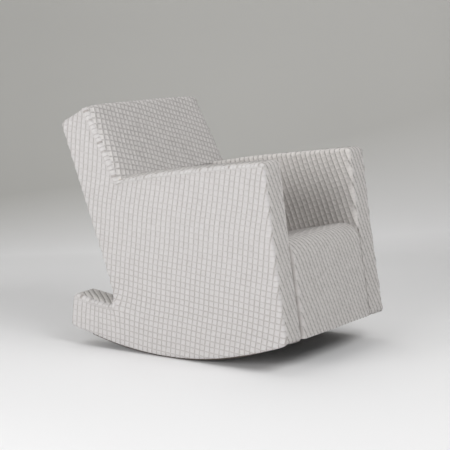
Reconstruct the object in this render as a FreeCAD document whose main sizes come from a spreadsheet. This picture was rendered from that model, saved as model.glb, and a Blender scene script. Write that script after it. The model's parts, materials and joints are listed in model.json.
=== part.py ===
"""Rocking armchair, fully upholstered.

Two thick side slabs each run in one piece from the leaning back through the arm and the front post
to a curved rocker with a heel behind it. Between them hang a raked seat and a reclined back.
Millimetres. X is the sitter's left, -Y is the front, +Z is up. The floor is z = 0 and the chair
stands on the lowest point of its rockers.
"""
import FreeCAD, Part
import math
import os
import re
import Sketcher

os.makedirs("parts", exist_ok=True)

# %% Driving dimensions

SIZES = {
    # the whole chair
    "chair_width": (680, "across both sides"),
    "side_thickness": (110, "one upholstered side slab"),
    # side view, outer face of the fabric
    "arm_front_y": (-369.6, "sharp top corner of the arm's front edge"),
    "arm_front_z": (695, "its height"),
    "front_lean": (8, "degrees the front edge leans back from upright"),
    "arm_fall": (7.2, "degrees the arm falls towards the back"),
    "back_top_y": (348, "sharp front corner at the top of the back"),
    "back_top_z": (846, "its height"),
    "back_lean": (30.8, "degrees the back reclines from upright"),
    "back_depth": (134, "top of the back, front to rear"),
    "top_fall": (26.2, "degrees the top of the back falls rearwards"),
    "rear_lean": (21.2, "degrees the rear edge leans from upright"),
    "heel_y": (417, "sharp top corner at the end of the heel"),
    "heel_z": (187, "its height"),
    "heel_rise": (8.5, "degrees the heel's top rises rearwards"),
    "heel_lean": (7.2, "degrees the heel's end leans from upright"),
    "base_rise": (3.9, "degrees the underside of the seat box rises rearwards"),
    # rockers
    "rocking_y": (13, "where the chair touches the floor at rest"),
    "rocker_front_radius": (1115, "rocker arc in front of that line"),
    "rocker_back_radius": (1320, "rocker arc behind it"),
    "rocker_depth": (60, "laminated rocker, top to bottom"),
    "ply": (12, "one lamination of the rocker"),
    "runner_thickness": (4, "wear strip under the rocker"),
    "runner_width": (84, "wear strip across"),
    "runner_front_y": (-418, "front end of the wear strip"),
    "runner_back_y": (342, "back end of the wear strip"),
    # rounding
    "edge_round": (12, "long edges between a side face and the bands"),
    "arm_round": (18, "arm's front top corner"),
    "crease_round": (8, "crease where arm and back meet"),
    "back_round": (15, "front corner at the top of the back"),
    "rear_round": (22, "rear corner at the top of the back"),
    "notch_round": (28, "hollow corner between rear edge and heel"),
    "heel_round": (16, "heel's corners"),
    "toe_round": (15, "front end of the rocker"),
    "seat_roll": (75, "rolled front of the seat"),
    # upholstery layers
    "cover": (3, "quilted fabric"),
    "edge_pad": (18, "foam on the edges of the side frames"),
    "outer_pad": (12, "foam on the outside of a side"),
    "inner_pad": (20, "foam on the inside of a side"),
    "seat_pad": (110, "seat foam"),
    "back_pad": (75, "back foam"),
    "front_proud": (8, "front panel ahead of the arm fronts"),
    "soft_gap": (0.3, "clearance between a soft piece and its neighbour"),
    "dust_sheet": (1.5, "woven sheet under the seat box"),
    "sheet_gap": (6, "clearance between that sheet and the rail above it"),
    # seat and back
    "seat_front_z": (440, "where the line of the seat meets the arm's front edge"),
    "seat_rake": (13, "degrees the seat falls rearwards"),
    # frame
    "board": (12, "plywood sides of a side frame"),
    "post": (40, "posts and rails inside a side frame, across the side view"),
    "rail": (30, "cross rail, thickness"),
    "rail_height": (82, "seat rails, top to bottom"),
    "base_rail_height": (60, "base rails, top to bottom"),
    "back_rail_height": (80, "lower back rail, top to bottom"),
    "top_rail_height": (95, "top back rail, top to bottom"),
    "lining": (4, "hardboard linings"),
    "cleat": (20, "cleats on the side frames, thickness"),
    "cleat_height": (40, "cleats, across the side view"),
    "back_cleat_stop": (140, "top of a back cleat below the top of the back"),
    "block": (60, "corner block, along its legs"),
    "block_thickness": (36, "corner block"),
    # webbing
    "webbing": (2, "webbing, thickness"),
    "webbing_width": (60, "one strap across"),
    "seat_strap_pitch": (88, "seat straps, front to back, apart"),
    "cross_strap_pitch": (105, "seat straps, side to side, apart"),
    "back_strap_pitch": (115, "back straps apart"),
    # connector bolts and their barrel nuts
    "bolt": (6, "bolt, thread diameter"),
    "bolt_head": (14, "bolt head, diameter"),
    "bolt_head_height": (4, "bolt head"),
    "bolt_bite": (50, "bolt's reach into a rail"),
    "bolt_clearance": (0.5, "around the bolt in the wood"),
    "nut": (10, "barrel nut, diameter"),
    "nut_length": (20, "barrel nut"),
    "nut_reach": (36, "barrel nut's centre from the end of a rail"),
    "nut_clearance": (0.2, "around the barrel nut"),
    "thread_clearance": (0.05, "between the bolt and its nut"),
}

doc = FreeCAD.newDocument("RockingArmchair")
sheet = doc.addObject("Spreadsheet::Sheet", "Sizes")
for row, (alias, (number, note)) in enumerate(SIZES.items(), start=1):
    sheet.set("A%d" % row, note)
    sheet.set("B%d" % row, str(number))
    sheet.setAlias("B%d" % row, alias)
doc.recompute()

WORD = re.compile(r"[a-z_]+")


def formula(text):
    """Write a formula on driving dimensions the way the sheet's cells are addressed."""
    return WORD.sub(lambda word: "Sizes." + word.group() if word.group() in SIZES else word.group(), text)


def value(text):
    """The number that a formula gives."""
    return float(sheet.evalExpression(formula(text)))


# %% Lines of the side view


class Line:
    """A line of the side view, as formulas: a point on it and its direction in degrees from +Y.

    Going along it, the upholstery lies on the right.
    """

    def __init__(self, y, z, angle):
        self.y, self.z, self.angle = y, z, angle

    def inward(self, distance):
        """The parallel line that far inside."""
        return Line(
            "%s+(%s)*sin(%s)" % (self.y, distance, self.angle),
            "%s-(%s)*cos(%s)" % (self.z, distance, self.angle),
            self.angle,
        )

    def along(self, distance):
        """The same line, with its point moved that far along it."""
        return Line(
            "%s+(%s)*cos(%s)" % (self.y, distance, self.angle),
            "%s+(%s)*sin(%s)" % (self.z, distance, self.angle),
            self.angle,
        )

    def across(self, distance):
        """The line square to this one, that far along it; what comes before it lies on its right."""
        start = self.along(distance)
        return Line(start.y, start.z, "%s-90" % self.angle)

    def reversed(self):
        """The same line, run the other way, so that its right-hand side changes."""
        return Line(self.y, self.z, "%s+180" % self.angle)

    def meet(self, other):
        """Formulas for the point where two lines cross."""
        travel = "((%s-(%s))*sin(%s)-(%s-(%s))*cos(%s))/sin(%s-(%s))" % (
            other.y,
            self.y,
            other.angle,
            other.z,
            self.z,
            other.angle,
            other.angle,
            self.angle,
        )
        return (
            "%s+%s*cos(%s)" % (self.y, travel, self.angle),
            "%s+%s*sin(%s)" % (self.z, travel, self.angle),
        )


front = Line("arm_front_y", "arm_front_z", "90-front_lean")
arm = Line("arm_front_y", "arm_front_z", "-arm_fall")
back = Line("back_top_y", "back_top_z", "90-back_lean")
top = Line("back_top_y", "back_top_z", "-top_fall")
rear_corner = top.along("back_depth")
rear = Line(rear_corner.y, rear_corner.z, "-90-rear_lean")
heel_top = Line("heel_y", "heel_z", "heel_rise")
heel_end = Line("heel_y", "heel_z", "heel_lean-90")
notch_y, notch_z = rear.meet(heel_top)
base = Line(notch_y, notch_z, "180+base_rise")
seat = Line(
    "arm_front_y-(arm_front_z-seat_front_z)*tan(front_lean)",
    "seat_front_z",
    "-seat_rake",
)
panel = front.inward("-front_proud")
deck = seat.inward("cover+seat_pad")
rail_top = seat.inward("cover+seat_pad+webbing")
back_deck = back.inward("cover+back_pad")
back_rail_face = back.inward("cover+back_pad+webbing")
frame_front = front.inward("cover+edge_pad")
frame_top = top.inward("cover+edge_pad")
frame_rear = rear.inward("cover+edge_pad")

# %% Sketches of the side view

SIDE_VIEW = FreeCAD.Placement(FreeCAD.Vector(0, 0, 0), FreeCAD.Rotation(FreeCAD.Vector(1, 1, 1), 120))
FAR = "3*chair_width"  # beyond the chair, for the open sides of a cutting region


def point(y, z):
    return FreeCAD.Vector(y, z, 0)


def pin(sketch, geometry, end, y, z):
    """Fix one point of a sketch by formulas for its y and z."""
    for kind, text in (("DistanceX", y), ("DistanceY", z)):
        number = sketch.addConstraint(Sketcher.Constraint(kind, -1, 1, geometry, end, value(text)))
        sketch.setExpression("Constraints[%d]" % number, formula(text))


def bind_radius(sketch, geometry, text):
    number = sketch.addConstraint(Sketcher.Constraint("Radius", geometry, value(text)))
    sketch.setExpression("Constraints[%d]" % number, formula(text))


def circle_crossing(line, centre, radius, way):
    """Where a line leaves a circle: way 1 is ahead along the line, -1 behind."""
    slope = math.radians(value(line.angle))
    ahead = point(math.cos(slope), math.sin(slope))
    start = point(value(line.y), value(line.z))
    middle = (centre - start).dot(ahead)
    half_chord = math.sqrt(radius**2 - (start + ahead * middle - centre).Length ** 2)
    return start + ahead * (middle + way * half_chord)


def corner_arc(before, corner, after, radius):
    """Tangent points of a rounded corner and its arc, with the arc's end that comes first."""
    back_way = (before - corner).normalize()
    on_way = (after - corner).normalize()
    half_angle = back_way.getAngle(on_way) / 2
    enter = corner + back_way * (radius / math.tan(half_angle))
    leave = corner + on_way * (radius / math.tan(half_angle))
    centre = corner + (back_way + on_way).normalize() * (radius / math.sin(half_angle))
    convex = back_way.cross(on_way).z > 0
    first, last = (leave, enter) if convex else (enter, leave)
    angles = [math.atan2(end.y - centre.y, end.x - centre.x) for end in (first, last)]
    circle = Part.Circle(centre, FreeCAD.Vector(0, 0, 1), radius)
    return enter, leave, Part.ArcOfCircle(circle, *angles), 2 if convex else 1


def side_sketch(name, lines, rounds=None, rocker_inset=None):
    """A closed outline of the side view from lines that meet one after another, run clockwise.

    rounds gives the radius of the corner after a line, by that line's place in the list. With
    rocker_inset, the outline closes along the rocker's two arcs, that far inside the floor line,
    and not from the last line straight to the first.
    """
    rounds = rounds or {}
    sketch = doc.addObject("Sketcher::SketchObject", name)
    sketch.Placement = SIDE_VIEW
    count = len(lines)
    corner_count = count - 1 if rocker_inset else count
    meets = [lines[i].meet(lines[(i + 1) % count]) for i in range(corner_count)]
    corners = [point(value(y), value(z)) for y, z in meets]
    if rocker_inset:
        arcs = [
            (point(value("rocking_y"), value(radius)), radius, value("%s-(%s)" % (radius, rocker_inset)))
            for radius in ("rocker_back_radius", "rocker_front_radius")
        ]
        heel_foot = circle_crossing(lines[-1], arcs[0][0], arcs[0][2], 1)
        toe = circle_crossing(lines[0], arcs[1][0], arcs[1][2], -1)
        starts = [toe] + corners
        ends = corners + [heel_foot]
    else:
        starts = corners[-1:] + corners[:-1]
        ends = list(corners)
    bends = {}
    for i, radius in rounds.items():
        after = ends[(i + 1) % count]
        enter, leave, arc, first_end = corner_arc(starts[i], corners[i], after, value(radius))
        bends[i] = (enter, leave, arc, first_end, radius)
    for i in range(count):
        begin = bends[(i - 1) % count][1] if (i - 1) % count in bends else starts[i]
        finish = bends[i][0] if i in bends else ends[i]
        sketch.addGeometry(Part.LineSegment(begin, finish), False)
    for i, (y, z) in enumerate(meets):
        following = (i + 1) % count
        if i in bends:
            arc, first_end, radius = bends[i][2:]
            bend = sketch.addGeometry(arc, False)
            sketch.addConstraint(Sketcher.Constraint("Tangent", i, 2, bend, first_end))
            sketch.addConstraint(Sketcher.Constraint("Tangent", following, 1, bend, 3 - first_end))
            bind_radius(sketch, bend, radius)
            sharp = sketch.addGeometry(Part.Point(corners[i]), True)
            sketch.addConstraint(Sketcher.Constraint("PointOnObject", sharp, 1, i))
            sketch.addConstraint(Sketcher.Constraint("PointOnObject", sharp, 1, following))
            pin(sketch, sharp, 1, y, z)
        else:
            sketch.addConstraint(Sketcher.Constraint("Coincident", i, 2, following, 1))
            pin(sketch, i, 2, y, z)
    if rocker_inset:
        close_along_rocker(sketch, lines, arcs, heel_foot, toe, rocker_inset)
    return sketch


def close_along_rocker(sketch, lines, arcs, heel_foot, toe, inset):
    """Add the two rocker arcs, which share their lowest point, and tie the open line ends to them."""
    up = math.radians(90)
    last = len(lines) - 1
    for line, place, way in ((lines[-1], last, FAR), (lines[0], 0, "-" + FAR)):
        guide = line.along(way)
        mark = sketch.addGeometry(Part.Point(point(value(guide.y), value(guide.z))), True)
        pin(sketch, mark, 1, guide.y, guide.z)
        sketch.addConstraint(Sketcher.Constraint("PointOnObject", mark, 1, place))
    for (centre, radius, reach), end, line_end in (
        (arcs[0], heel_foot, (last, 2)),
        (arcs[1], toe, (0, 1)),
    ):
        angle = math.atan2(end.y - centre.y, end.x - centre.x)
        circle = Part.Circle(centre, FreeCAD.Vector(0, 0, 1), reach)
        behind = end is heel_foot
        span = (-up, angle) if behind else (angle, -up)
        arc = sketch.addGeometry(Part.ArcOfCircle(circle, *span), False)
        open_end, low_end = (2, 1) if behind else (1, 2)
        pin(sketch, arc, 3, "rocking_y", radius)
        bind_radius(sketch, arc, "%s-(%s)" % (radius, inset))
        sketch.addConstraint(Sketcher.Constraint("Vertical", arc, 3, arc, low_end))
        sketch.addConstraint(Sketcher.Constraint("Coincident", arc, open_end, *line_end))


# %% Solids from sketches, boxes and booleans


def prism(name, sketch, x_from, width):
    """Extrude a side view sketch from x_from over a width."""
    solid = doc.addObject("Part::Extrusion", name)
    solid.Base = sketch
    solid.DirMode = "Normal"
    solid.Solid = True
    solid.setExpression("LengthFwd", formula(width))
    solid.setExpression("Placement.Base.x", formula(x_from))
    return solid


def block(name, line, near, far, low, high, x_from, width):
    """A box laid on a line: near to far along it, low to high to the left of it."""
    box = doc.addObject("Part::Box", name)
    box.Placement = FreeCAD.Placement(FreeCAD.Vector(), FreeCAD.Rotation(FreeCAD.Vector(1, 0, 0), 45))
    corner = line.along(near).inward("-(%s)" % low)
    box.setExpression("Length", formula(width))
    box.setExpression("Width", formula("%s-(%s)" % (far, near)))
    box.setExpression("Height", formula("%s-(%s)" % (high, low)))
    box.setExpression("Placement.Rotation.Angle", formula(line.angle))
    box.setExpression("Placement.Base.x", formula(x_from))
    box.setExpression("Placement.Base.y", formula(corner.y))
    box.setExpression("Placement.Base.z", formula(corner.z))
    return box


def slab(name, x_from, width):
    """A box that takes in everything between two planes square to X."""
    box = doc.addObject("Part::Box", name)
    for side, text in (("Length", width), ("Width", "2*" + FAR), ("Height", "2*" + FAR)):
        box.setExpression(side, formula(text))
    for axis, text in (("x", x_from), ("y", "-" + FAR), ("z", "-" + FAR)):
        box.setExpression("Placement.Base." + axis, formula(text))
    return box


def cut(name, base_solid, tool):
    result = doc.addObject("Part::Cut", name)
    result.Base, result.Tool = base_solid, tool
    return result


def common(name, *solids):
    result = doc.addObject("Part::MultiCommon", name)
    result.Shapes = list(solids)
    return result


def fused(name, *solids):
    result = doc.addObject("Part::MultiFuse", name)
    result.Shapes = list(solids)
    result.Refine = True
    return result


def group(name, *solids):
    """Separate solids of one node."""
    result = doc.addObject("Part::Compound", name)
    result.Links = list(solids)
    return result


def mirrored(name, source):
    result = doc.addObject("Part::Mirroring", name)
    result.Source = source
    result.Normal = FreeCAD.Vector(1, 0, 0)
    return result


def rounded(name, solid, radius, wanted):
    """Round the edges of a solid that wanted() picks."""
    doc.recompute()
    result = doc.addObject("Part::Fillet", name)
    result.Base = solid
    size = value(radius)
    result.Edges = [(i, size, size) for i, edge in enumerate(solid.Shape.Edges, start=1) if wanted(edge)]
    return result


def lies_at_x(plane):
    """A test for edges that lie in a plane square to X."""
    place = value(plane)
    near = 0.01
    return lambda edge: abs(edge.BoundBox.XMin - place) < near and abs(edge.BoundBox.XMax - place) < near


def runs_across_low(edge):
    """A test for the rocker's two end edges: they run along X, low down and far from the middle."""
    flat = 0.01
    box = edge.BoundBox
    low = box.ZMax < value("heel_z-2*heel_round") and abs(box.YMax) > value("heel_y/2")
    return box.YLength < flat and box.ZLength < flat and low


PARTS = []


def part(node):
    """Name a finished object as a sub-part of the chair."""
    node.Label = node.Name
    PARTS.append(node)
    return node


def pair(make, name):
    """Make the sitter's right piece and mirror it for the left."""
    right = part(make(name + "_right"))
    part(mirrored(name + "_left", right))
    return right


# %% The side slab's envelopes

CHAIR_LINES = [front, arm, back, top, rear, heel_top, heel_end]
CORNER_ROUNDS = ("arm_round", "crease_round", "back_round", "rear_round", "notch_round", "heel_round")
HOLLOW = ("crease_round", "notch_round")

outer_x = "-chair_width/2"
inner_x = "-chair_width/2+side_thickness"
board_x = "-chair_width/2+cover+outer_pad"
cavity_x = "-chair_width/2+cover+outer_pad+board"
inner_board_x = "-chair_width/2+side_thickness-cover-inner_pad-board"
rail_x = "-chair_width/2+side_thickness-cover-inner_pad"
frame_width = "side_thickness-2*cover-outer_pad-inner_pad"
cavity_width = "side_thickness-2*cover-outer_pad-inner_pad-2*board"
rail_span = "chair_width-2*side_thickness+2*cover+2*inner_pad"
seat_x = "-chair_width/2+side_thickness+soft_gap"
seat_span = "chair_width-2*side_thickness-2*soft_gap"
band_x = "-chair_width/2+edge_round"
band_width = "side_thickness-2*edge_round"


def chair_outline(name, inset):
    """The whole side view, a distance inside the fabric's outer face, with its rounded corners."""
    lines = [line.inward(inset) for line in CHAIR_LINES]
    rounds = {}
    for i, radius in enumerate(CORNER_ROUNDS):
        rounds[i] = "%s%s(%s)" % (radius, "+" if radius in HOLLOW else "-", inset)
    return side_sketch(name, lines, rounds, "runner_thickness+(%s)" % inset)


def frame_outline(name, rocker_inset):
    """The side view of the wooden frame, square at its corners, over a rocker arc of its own."""
    lines = [line.inward("cover+edge_pad") for line in CHAIR_LINES]
    return side_sketch(name, lines, None, rocker_inset)


def soft_envelope(name, sketch, inset):
    """A side slab with its ends and long edges rounded, a distance inside the fabric's face."""
    raw = prism(name + "_raw", sketch, "%s+(%s)" % (outer_x, inset), "side_thickness-2*(%s)" % inset)
    ends = rounded(name + "_ends", raw, "toe_round-(%s)" % inset, runs_across_low)
    outside = lies_at_x("%s+(%s)" % (outer_x, inset))
    inside = lies_at_x("%s-(%s)" % (inner_x, inset))
    return rounded(name, ends, "edge_round-(%s)" % inset, lambda edge: outside(edge) or inside(edge))


fabric_outline = chair_outline("fabric_outline", "0")
foam_outline = chair_outline("foam_outline", "cover")
fabric_envelope = soft_envelope("fabric_envelope", fabric_outline, "0")
foam_envelope = soft_envelope("foam_envelope", foam_outline, "cover")
fabric_skin = cut("fabric_skin", fabric_envelope, foam_envelope)

# %% Regions that part the layers


def region(name, *lines):
    """Everything across the chair that lies to the right of lines which meet one after another."""
    return prism(name, side_sketch(name + "_view", lines), outer_x, "chair_width")


beyond_front = front.inward("-" + FAR)
beyond_top = top.inward("-" + FAR)
beyond_arm = arm.inward("-" + FAR)
beyond_rear = rear.inward("-" + FAR)
beyond_heel = heel_end.inward("-" + FAR)
below = base.inward("-" + FAR)
above_notch = "2*notch_round"

arms_zone = region("arms_zone", beyond_front, beyond_arm, back.reversed(), base)
inside_cover_zone = region(
    "inside_cover_zone",
    beyond_front,
    beyond_arm,
    back.reversed(),
    deck.reversed(),
    frame_front.reversed(),
    base,
)
inside_foam_zone = region(
    "inside_foam_zone",
    beyond_front,
    beyond_top,
    rear,
    frame_top.reversed(),
    back_deck.reversed(),
    deck.reversed(),
    frame_front.reversed(),
    base,
)
back_zone = region("back_zone", back, beyond_top, rear.inward("rear_round"), arm.reversed())
rear_zone = region(
    "rear_zone",
    rear.inward("rear_round").reversed(),
    beyond_top,
    beyond_rear,
    heel_top.inward("-" + above_notch).reversed(),
)
base_zone = region(
    "base_zone",
    base.reversed(),
    rear.inward("edge_pad").reversed(),
    heel_top.inward("-" + above_notch),
    beyond_heel,
    below,
    beyond_front,
)
heel_zone = region(
    "heel_zone",
    base.reversed(),
    rear.reversed(),
    heel_top.inward("-" + above_notch),
    beyond_heel,
    below,
    beyond_front,
)

# %% Wooden side frames

rocker_start = "runner_thickness+cover"
PLIES = round(value("rocker_depth/ply"))
levels = [
    frame_outline("frame_level_%d" % i, "%s+%d*ply" % (rocker_start, i)) for i in range(PLIES + 1)
]
frame_view = levels[0]
above_rocker = prism("above_rocker", levels[-1], cavity_x, cavity_width)


def frame_strip(name, *lines):
    """A timber between the two boards of a side frame, above the rocker."""
    return common(name, above_rocker, region(name + "_zone", *lines))


frame_arm = arm.inward("cover+edge_pad")
frame_back = back.inward("cover+edge_pad")
seat_end = Line(*deck.meet(back), "-90-seat_rake")
back_foot = Line(*deck.meet(back_rail_face), "90-back_lean")

# %% Cross rails, their bolts and barrel nuts

RAILS = {
    # name: outline run clockwise, lines that cross at the bolt, line that the nut's hole is square to
    "seat_front_rail": (
        [
            frame_front,
            rail_top,
            frame_front.inward("rail").reversed(),
            rail_top.inward("rail_height").reversed(),
        ],
        (frame_front.inward("rail/2"), rail_top.inward("rail_height/2")),
    ),
    "seat_rear_rail": (
        [
            seat_end.reversed(),
            rail_top,
            seat_end.inward("-rail"),
            base.inward("dust_sheet+sheet_gap"),
        ],
        (seat_end.inward("-rail/2"), rail_top.inward("rail_height/2")),
    ),
    "base_front_rail": (
        [
            frame_front,
            base.inward("dust_sheet+base_rail_height").reversed(),
            frame_front.inward("rail").reversed(),
            base.inward("dust_sheet"),
        ],
        (frame_front.inward("rail/2"), base.inward("dust_sheet+base_rail_height/2")),
    ),
    "base_rear_rail": (
        [
            frame_rear.inward("rail").reversed(),
            base.inward("dust_sheet+base_rail_height").reversed(),
            frame_rear,
            base.inward("dust_sheet"),
        ],
        (frame_rear.inward("rail/2"), base.inward("dust_sheet+base_rail_height/2")),
    ),
    "back_lower_rail": (
        [
            back_rail_face,
            back_foot.across("back_rail_height"),
            back_rail_face.inward("rail").reversed(),
            deck.reversed(),
        ],
        (back_rail_face.inward("rail/2"), back_foot.across("back_rail_height/2")),
    ),
    "back_top_rail": (
        [
            back_rail_face,
            frame_top,
            frame_rear,
            back.across("-top_rail_height").reversed(),
        ],
        (back_rail_face.inward("rail/2"), back.across("-top_rail_height/2").inward("0")),
    ),
}


def rod(name, x_from, length, y, z, diameter):
    """A cylinder that runs along X."""
    solid = doc.addObject("Part::Cylinder", name)
    solid.Placement = FreeCAD.Placement(FreeCAD.Vector(), FreeCAD.Rotation(FreeCAD.Vector(0, 1, 0), 90))
    solid.setExpression("Radius", formula("(%s)/2" % diameter))
    solid.setExpression("Height", formula(length))
    for axis, text in (("x", x_from), ("y", y), ("z", z)):
        solid.setExpression("Placement.Base." + axis, formula(text))
    return solid


def peg(name, line, x, length, diameter):
    """A cylinder square to a line, centred on the line's point."""
    solid = doc.addObject("Part::Cylinder", name)
    solid.Placement = FreeCAD.Placement(FreeCAD.Vector(), FreeCAD.Rotation(FreeCAD.Vector(1, 0, 0), 45))
    end = line.inward("-(%s)/2" % length)
    solid.setExpression("Radius", formula("(%s)/2" % diameter))
    solid.setExpression("Height", formula(length))
    solid.setExpression("Placement.Rotation.Angle", formula("180+(%s)" % line.angle))
    for axis, text in (("x", x), ("y", end.y), ("z", end.z)):
        solid.setExpression("Placement.Base." + axis, formula(text))
    return solid


nut_x = rail_x + "+nut_reach"
bolts, nuts, bolt_holes, driver_holes = [], [], [], []
drilled = {}
for name, (lines, (face, level)) in RAILS.items():
    y, z = face.meet(level)
    head = rod(name + "_head", inner_board_x + "-bolt_head_height", "bolt_head_height", y, z, "bolt_head")
    shank = rod(name + "_shank", inner_board_x, "board+bolt_bite", y, z, "bolt")
    bolts.append(fused(name + "_bolt", head, shank))
    hole = rod(name + "_hole", inner_board_x, "board+bolt_bite", y, z, "bolt+2*bolt_clearance")
    bolt_holes.append(hole)
    driver_holes.append(rod(name + "_access", cavity_x, cavity_width, y, z, "bolt_head+4*bolt_clearance"))
    axis = Line(y, z, face.angle)
    thread = rod(name + "_thread", inner_board_x, "board+bolt_bite", y, z, "bolt+2*thread_clearance")
    nuts.append(cut(name + "_nut", peg(name + "_barrel", axis, nut_x, "nut_length", "nut"), thread))
    nut_hole = peg(name + "_nut_hole", axis, nut_x, "nut_length+2*nut_clearance", "nut+2*nut_clearance")
    tools = fused(name + "_drilling", hole, nut_hole)
    raw = prism(name + "_raw", side_sketch(name + "_view", lines), rail_x, rail_span)
    drilled[name] = cut(name + "_half", raw, tools)
    part(cut(name, drilled[name], mirrored(name + "_drilling_left", tools)))

board_holes = fused("board_holes", *bolt_holes)
post_holes = fused("post_holes", *driver_holes)
for name, singles in (("rail_bolts", bolts), ("barrel_nuts", nuts)):
    part(group(name, *singles, *[mirrored(single.Name + "_left", single) for single in singles]))

# %% Side frames


def laminated_rocker(name):
    """Plies bent to the rocker's arcs and glued one above another."""
    plies = []
    for i, (lower, upper) in enumerate(zip(levels, levels[1:])):
        sheets = [
            prism("%s_%s_%d" % (name, side, i), view, cavity_x, cavity_width)
            for side, view in (("lower", lower), ("upper", upper))
        ]
        whole = cut("%s_whole_%d" % (name, i), *sheets)
        plies.append(cut("%s_ply_%d" % (name, i), whole, post_holes))
    return group(name, *plies)


pair(laminated_rocker, "rocker")
pair(lambda name: prism(name, frame_view, board_x, "board"), "outer_board")
pair(
    lambda name: cut(name, prism(name + "_raw", frame_view, inner_board_x, "board"), board_holes),
    "inner_board",
)
stile_lines = [
    frame_back,
    beyond_top,
    frame_back.inward("post").reversed(),
    rail_top.inward("rail_height").reversed(),
]
post_lines = [frame_rear.inward("post").reversed(), beyond_top, frame_rear, below]
front_post_lines = [beyond_front, beyond_arm, frame_front.inward("post").reversed(), below]
arm_rail_lines = [
    frame_front.inward("post"),
    beyond_arm,
    frame_back.reversed(),
    frame_arm.inward("post").reversed(),
]
heel_lines = [frame_rear.reversed(), heel_top.inward("-" + FAR), beyond_heel, below]
for name, lines in (("front_post", front_post_lines), ("back_stile", stile_lines), ("back_post", post_lines)):
    pair(lambda name, lines=lines: cut(name, frame_strip(name + "_raw", *lines), post_holes), name)
pair(lambda name: frame_strip(name, *arm_rail_lines), "arm_rail")
pair(lambda name: frame_strip(name, *heel_lines), "heel_block")

# %% Cleats and blocks

cleat_top = rail_top.inward("webbing")
seat_cleat_lines = [
    frame_front.inward("rail"),
    cleat_top,
    seat_end,
    cleat_top.inward("cleat_height").reversed(),
]
back_cleat_lines = [
    frame_rear.inward("cleat_height").reversed(),
    rear.across("back_cleat_stop").reversed(),
    frame_rear,
    base.inward("dust_sheet+base_rail_height"),
]
for name, lines in (("seat_cleat", seat_cleat_lines), ("back_cleat", back_cleat_lines)):
    pair(lambda name, lines=lines: prism(name, side_sketch(name + "_view", lines), rail_x, "cleat"), name)


def corner_block(name, line, turned):
    """A triangular block over a line, with legs along X and along the line; under it if turned."""
    wedge = doc.addObject("Part::Wedge", name)
    wedge.Placement = FreeCAD.Placement(FreeCAD.Vector(), FreeCAD.Rotation(FreeCAD.Vector(1, 0, 0), 45))
    for side in ("Xmin", "Ymin", "Zmin", "X2min", "Z2min", "X2max"):
        setattr(wedge, side, 0)
    for side, text in (
        ("Xmax", "block"),
        ("Ymax", "block"),
        ("Zmax", "block_thickness"),
        ("Z2max", "block_thickness"),
    ):
        wedge.setExpression(side, formula(text))
    turn = "+180" if turned else ""
    wedge.setExpression("Placement.Rotation.Angle", formula(line.angle + turn))
    for axis, text in (("x", rail_x + "+cleat"), ("y", line.y), ("z", line.z)):
        wedge.setExpression("Placement.Base." + axis, formula(text))
    return wedge


block_low = cleat_top.inward("block_thickness")
blocks = [
    corner_block("front_block", Line(*block_low.meet(seat_cleat_lines[0]), cleat_top.angle), False),
    corner_block("rear_block", Line(*cleat_top.meet(seat_end), cleat_top.angle), True),
]
part(group("corner_blocks", *blocks, *[mirrored(single.Name + "_left", single) for single in blocks]))

# %% Linings and webbing

front_board_lines = [frame_front.inward("-lining"), deck, frame_front.reversed(), base.inward("dust_sheet")]
back_board_lines = [frame_rear.reversed(), frame_top, frame_rear.inward("-lining"), base.inward("dust_sheet")]
part(prism("front_board", side_sketch("front_board_view", front_board_lines), seat_x, seat_span))
part(prism("back_board", side_sketch("back_board_view", back_board_lines), rail_x, rail_span))


def straps(name, view, pitch, count):
    """Straps side by side, symmetric about the chair's middle."""
    places = [i - (count - 1) / 2 for i in range(count)]
    return [
        prism("%s_%d" % (name, i), view, "(%s)*%s-webbing_width/2" % (place, pitch), "webbing_width")
        for i, place in enumerate(places)
    ]


seat_strap_view = side_sketch(
    "seat_strap_view", [frame_front, deck, seat_end.inward("-rail"), rail_top.reversed()]
)
back_strap_view = side_sketch(
    "back_strap_view", [back_deck, frame_top, back_rail_face.reversed(), deck.reversed()]
)
SEAT_STRAPS, CROSS_STRAPS, BACK_STRAPS = 5, 3, 3
cross_straps = [
    block(
        "cross_strap_%d" % i,
        rail_top,
        "%d*cross_strap_pitch-webbing_width/2" % (i + 1),
        "%d*cross_strap_pitch+webbing_width/2" % (i + 1),
        "-webbing",
        "0",
        rail_x,
        rail_span,
    )
    for i in range(CROSS_STRAPS)
]
seat_straps = straps("seat_strap", seat_strap_view, "seat_strap_pitch", SEAT_STRAPS)
part(group("seat_webbing", *seat_straps, *cross_straps))
part(group("back_webbing", *straps("back_strap", back_strap_view, "back_strap_pitch", BACK_STRAPS)))

# %% Foam

pair(lambda name: common(name, foam_envelope, slab(name + "_sheet", outer_x + "+cover", "outer_pad")), "outer_foam")
pair(
    lambda name: cut(
        name,
        common(name + "_outside", foam_envelope, slab(name + "_span", board_x, frame_width)),
        prism(name + "_inside", frame_view, board_x, frame_width),
    ),
    "edge_foam",
)


def inside_foam(name):
    """Foam on the inner face of a side: above the seat and beside the heel."""
    sheet_of_foam = common(name + "_sheet", foam_envelope, slab(name + "_slab", rail_x, "inner_pad"))
    return group(
        name,
        common(name + "_arm", sheet_of_foam, inside_foam_zone),
        common(name + "_heel", sheet_of_foam, heel_zone),
    )


pair(inside_foam, "inner_foam")

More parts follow.
